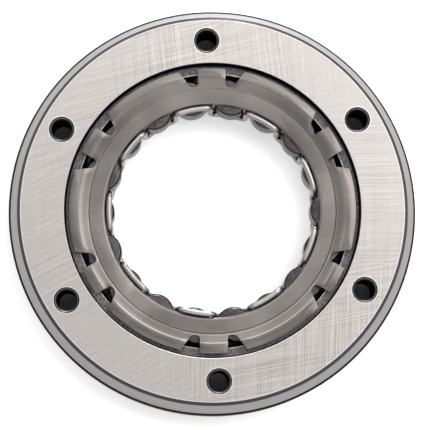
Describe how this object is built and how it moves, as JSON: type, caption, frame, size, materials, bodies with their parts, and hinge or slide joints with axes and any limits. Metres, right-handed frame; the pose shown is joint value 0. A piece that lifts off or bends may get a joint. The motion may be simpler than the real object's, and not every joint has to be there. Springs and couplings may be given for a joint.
{
  "type": "starter clutch",
  "caption": "Sprag one-way starter clutch: ground outer race with tapped holes, sheet-steel cage, rocking sprags and a weaving wire retainer, open bore.",
  "frame": {"origin": "on the clutch's axis, at the base of the outer race", "axes": "+Z along the axis towards the ground face with the cage flange; +Y to a short tab of the cage"},
  "size_m": [0.1042, 0.1042, 0.013],
  "materials": {
    "race_steel": "ground",
    "cage_steel": "pressed sheet",
    "wire_steel": "bright drawn",
    "sprag_steel": "hardened, tumbled"
  },
  "bodies": {
    "race": {"outer_race": "race_steel"},
    "cage": {"sprag_cage": "cage_steel", "wire_retainer": "wire_steel"},
    "sprag_01": {"sprag_01": "sprag_steel"},
    "sprag_02": {"sprag_02": "sprag_steel"},
    "sprag_03": {"sprag_03": "sprag_steel"},
    "sprag_04": {"sprag_04": "sprag_steel"},
    "sprag_05": {"sprag_05": "sprag_steel"},
    "sprag_06": {"sprag_06": "sprag_steel"},
    "sprag_07": {"sprag_07": "sprag_steel"},
    "sprag_08": {"sprag_08": "sprag_steel"},
    "sprag_09": {"sprag_09": "sprag_steel"},
    "sprag_10": {"sprag_10": "sprag_steel"},
    "sprag_11": {"sprag_11": "sprag_steel"},
    "sprag_12": {"sprag_12": "sprag_steel"},
    "sprag_13": {"sprag_13": "sprag_steel"},
    "sprag_14": {"sprag_14": "sprag_steel"},
    "sprag_15": {"sprag_15": "sprag_steel"},
    "sprag_16": {"sprag_16": "sprag_steel"},
    "sprag_17": {"sprag_17": "sprag_steel"},
    "sprag_18": {"sprag_18": "sprag_steel"}
  },
  "joints": [
    {"name": "cage_turn", "type": "hinge", "parent": "race", "child": "cage", "pos_m": [0, 0, 0.0054], "axis": [0, 0, 1], "continuous": true},
    {"name": "sprag_01_rock", "type": "hinge", "parent": "cage", "child": "sprag_01", "pos_m": [-0.00527, 0.02709, 0.00565], "axis": [0, 0, 1], "range_deg": [0, 16], "stiffness_Nm_per_rad": 0.01, "springref_deg": -5.73},
    {"name": "sprag_02_rock", "type": "hinge", "parent": "cage", "child": "sprag_02", "pos_m": [-0.01422, 0.02366, 0.00565], "axis": [0, 0, 1], "range_deg": [0, 16], "stiffness_Nm_per_rad": 0.01, "springref_deg": -5.73},
    {"name": "sprag_03_rock", "type": "hinge", "parent": "cage", "child": "sprag_03", "pos_m": [-0.02145, 0.01737, 0.00565], "axis": [0, 0, 1], "range_deg": [0, 16], "stiffness_Nm_per_rad": 0.01, "springref_deg": -5.73},
    {"name": "sprag_04_rock", "type": "hinge", "parent": "cage", "child": "sprag_04", "pos_m": [-0.0261, 0.00899, 0.00565], "axis": [0, 0, 1], "range_deg": [0, 16], "stiffness_Nm_per_rad": 0.01, "springref_deg": -5.73},
    {"name": "sprag_05_rock", "type": "hinge", "parent": "cage", "child": "sprag_05", "pos_m": [-0.0276, -0.00048, 0.00565], "axis": [0, 0, 1], "range_deg": [0, 16], "stiffness_Nm_per_rad": 0.01, "springref_deg": -5.73},
    {"name": "sprag_06_rock", "type": "hinge", "parent": "cage", "child": "sprag_06", "pos_m": [-0.02577, -0.00989, 0.00565], "axis": [0, 0, 1], "range_deg": [0, 16], "stiffness_Nm_per_rad": 0.01, "springref_deg": -5.73},
    {"name": "sprag_07_rock", "type": "hinge", "parent": "cage", "child": "sprag_07", "pos_m": [-0.02083, -0.01811, 0.00565], "axis": [0, 0, 1], "range_deg": [0, 16], "stiffness_Nm_per_rad": 0.01, "springref_deg": -5.73},
    {"name": "sprag_08_rock", "type": "hinge", "parent": "cage", "child": "sprag_08", "pos_m": [-0.01338, -0.02414, 0.00565], "axis": [0, 0, 1], "range_deg": [0, 16], "stiffness_Nm_per_rad": 0.01, "springref_deg": -5.73},
    {"name": "sprag_09_rock", "type": "hinge", "parent": "cage", "child": "sprag_09", "pos_m": [-0.00432, -0.02726, 0.00565], "axis": [0, 0, 1], "range_deg": [0, 16], "stiffness_Nm_per_rad": 0.01, "springref_deg": -5.73},
    {"name": "sprag_10_rock", "type": "hinge", "parent": "cage", "child": "sprag_10", "pos_m": [0.00527, -0.02709, 0.00565], "axis": [0, 0, 1], "range_deg": [0, 16], "stiffness_Nm_per_rad": 0.01, "springref_deg": -5.73},
    {"name": "sprag_11_rock", "type": "hinge", "parent": "cage", "child": "sprag_11", "pos_m": [0.01422, -0.02366, 0.00565], "axis": [0, 0, 1], "range_deg": [0, 16], "stiffness_Nm_per_rad": 0.01, "springref_deg": -5.73},
    {"name": "sprag_12_rock", "type": "hinge", "parent": "cage", "child": "sprag_12", "pos_m": [0.02145, -0.01737, 0.00565], "axis": [0, 0, 1], "range_deg": [0, 16], "stiffness_Nm_per_rad": 0.01, "springref_deg": -5.73},
    {"name": "sprag_13_rock", "type": "hinge", "parent": "cage", "child": "sprag_13", "pos_m": [0.0261, -0.00899, 0.00565], "axis": [0, 0, 1], "range_deg": [0, 16], "stiffness_Nm_per_rad": 0.01, "springref_deg": -5.73},
    {"name": "sprag_14_rock", "type": "hinge", "parent": "cage", "child": "sprag_14", "pos_m": [0.0276, 0.00048, 0.00565], "axis": [0, 0, 1], "range_deg": [0, 16], "stiffness_Nm_per_rad": 0.01, "springref_deg": -5.73},
    {"name": "sprag_15_rock", "type": "hinge", "parent": "cage", "child": "sprag_15", "pos_m": [0.02577, 0.00989, 0.00565], "axis": [0, 0, 1], "range_deg": [0, 16], "stiffness_Nm_per_rad": 0.01, "springref_deg": -5.73},
    {"name": "sprag_16_rock", "type": "hinge", "parent": "cage", "child": "sprag_16", "pos_m": [0.02083, 0.01811, 0.00565], "axis": [0, 0, 1], "range_deg": [0, 16], "stiffness_Nm_per_rad": 0.01, "springref_deg": -5.73},
    {"name": "sprag_17_rock", "type": "hinge", "parent": "cage", "child": "sprag_17", "pos_m": [0.01338, 0.02414, 0.00565], "axis": [0, 0, 1], "range_deg": [0, 16], "stiffness_Nm_per_rad": 0.01, "springref_deg": -5.73},
    {"name": "sprag_18_rock", "type": "hinge", "parent": "cage", "child": "sprag_18", "pos_m": [0.00432, 0.02726, 0.00565], "axis": [0, 0, 1], "range_deg": [0, 16], "stiffness_Nm_per_rad": 0.01, "springref_deg": -5.73}
  ],
  "couplings": [
    {"joint": "sprag_02_rock", "follows": "sprag_01_rock", "ratio": 1},
    {"joint": "sprag_03_rock", "follows": "sprag_01_rock", "ratio": 1},
    {"joint": "sprag_04_rock", "follows": "sprag_01_rock", "ratio": 1},
    {"joint": "sprag_05_rock", "follows": "sprag_01_rock", "ratio": 1},
    {"joint": "sprag_06_rock", "follows": "sprag_01_rock", "ratio": 1},
    {"joint": "sprag_07_rock", "follows": "sprag_01_rock", "ratio": 1},
    {"joint": "sprag_08_rock", "follows": "sprag_01_rock", "ratio": 1},
    {"joint": "sprag_09_rock", "follows": "sprag_01_rock", "ratio": 1},
    {"joint": "sprag_10_rock", "follows": "sprag_01_rock", "ratio": 1},
    {"joint": "sprag_11_rock", "follows": "sprag_01_rock", "ratio": 1},
    {"joint": "sprag_12_rock", "follows": "sprag_01_rock", "ratio": 1},
    {"joint": "sprag_13_rock", "follows": "sprag_01_rock", "ratio": 1},
    {"joint": "sprag_14_rock", "follows": "sprag_01_rock", "ratio": 1},
    {"joint": "sprag_15_rock", "follows": "sprag_01_rock", "ratio": 1},
    {"joint": "sprag_16_rock", "follows": "sprag_01_rock", "ratio": 1},
    {"joint": "sprag_17_rock", "follows": "sprag_01_rock", "ratio": 1},
    {"joint": "sprag_18_rock", "follows": "sprag_01_rock", "ratio": 1}
  ]
}
